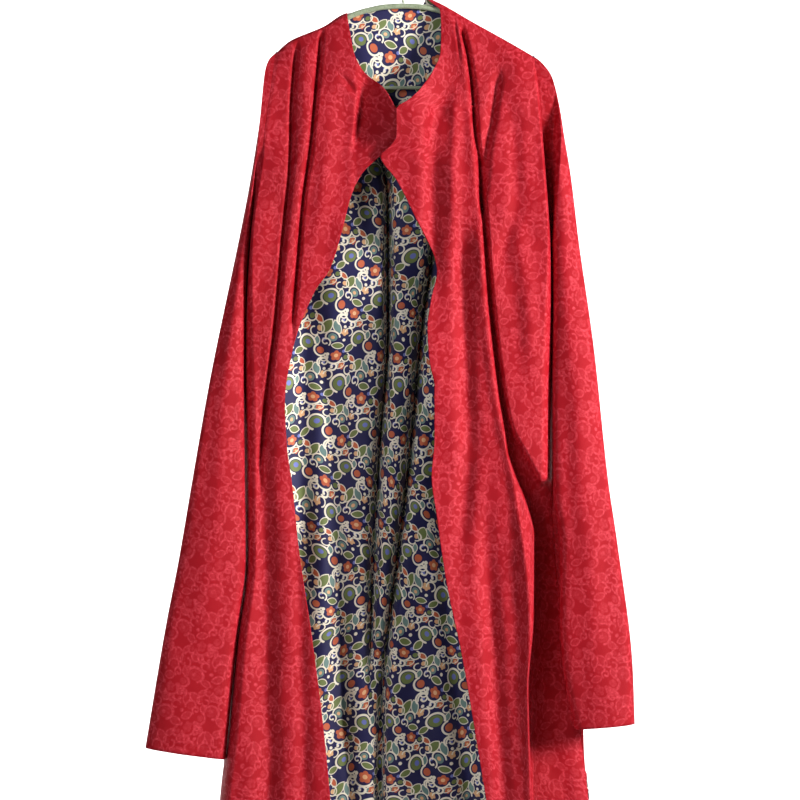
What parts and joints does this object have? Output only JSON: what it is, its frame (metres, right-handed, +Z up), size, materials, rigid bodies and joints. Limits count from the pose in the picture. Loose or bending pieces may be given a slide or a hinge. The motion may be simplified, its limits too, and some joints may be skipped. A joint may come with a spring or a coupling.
{
  "type": "hanfu robe on a hanger",
  "caption": "Long lined robe with an open front, lapped neck corner and straight sleeves, hung on a tube hanger that carries it from its hook.",
  "frame": {"origin": "inner top of the hanger's hook, where it rests on a rail", "axes": "+Z up, the front of the robe faces -Y, +X towards the right sleeve as seen from the front"},
  "size_m": [0.706, 0.121, 1.3891],
  "materials": {
    "red_jacquard": "red jacquard with a tone-on-tone scroll weave and a soft sheen",
    "printed_lining": "navy brocade lining with a small all-over pattern in ivory, olive and russet",
    "hanger_paint": "pale grey-green coated tube"
  },
  "bodies": {
    "root": {"front_left": "red_jacquard", "front_right": "red_jacquard", "back": "red_jacquard", "back_lining": "printed_lining", "sleeve_left": "red_jacquard", "sleeve_right": "red_jacquard", "hanger_arms": "hanger_paint", "hanger_bar": "hanger_paint", "hanger_hook": "hanger_paint"}
  },
  "joints": []
}
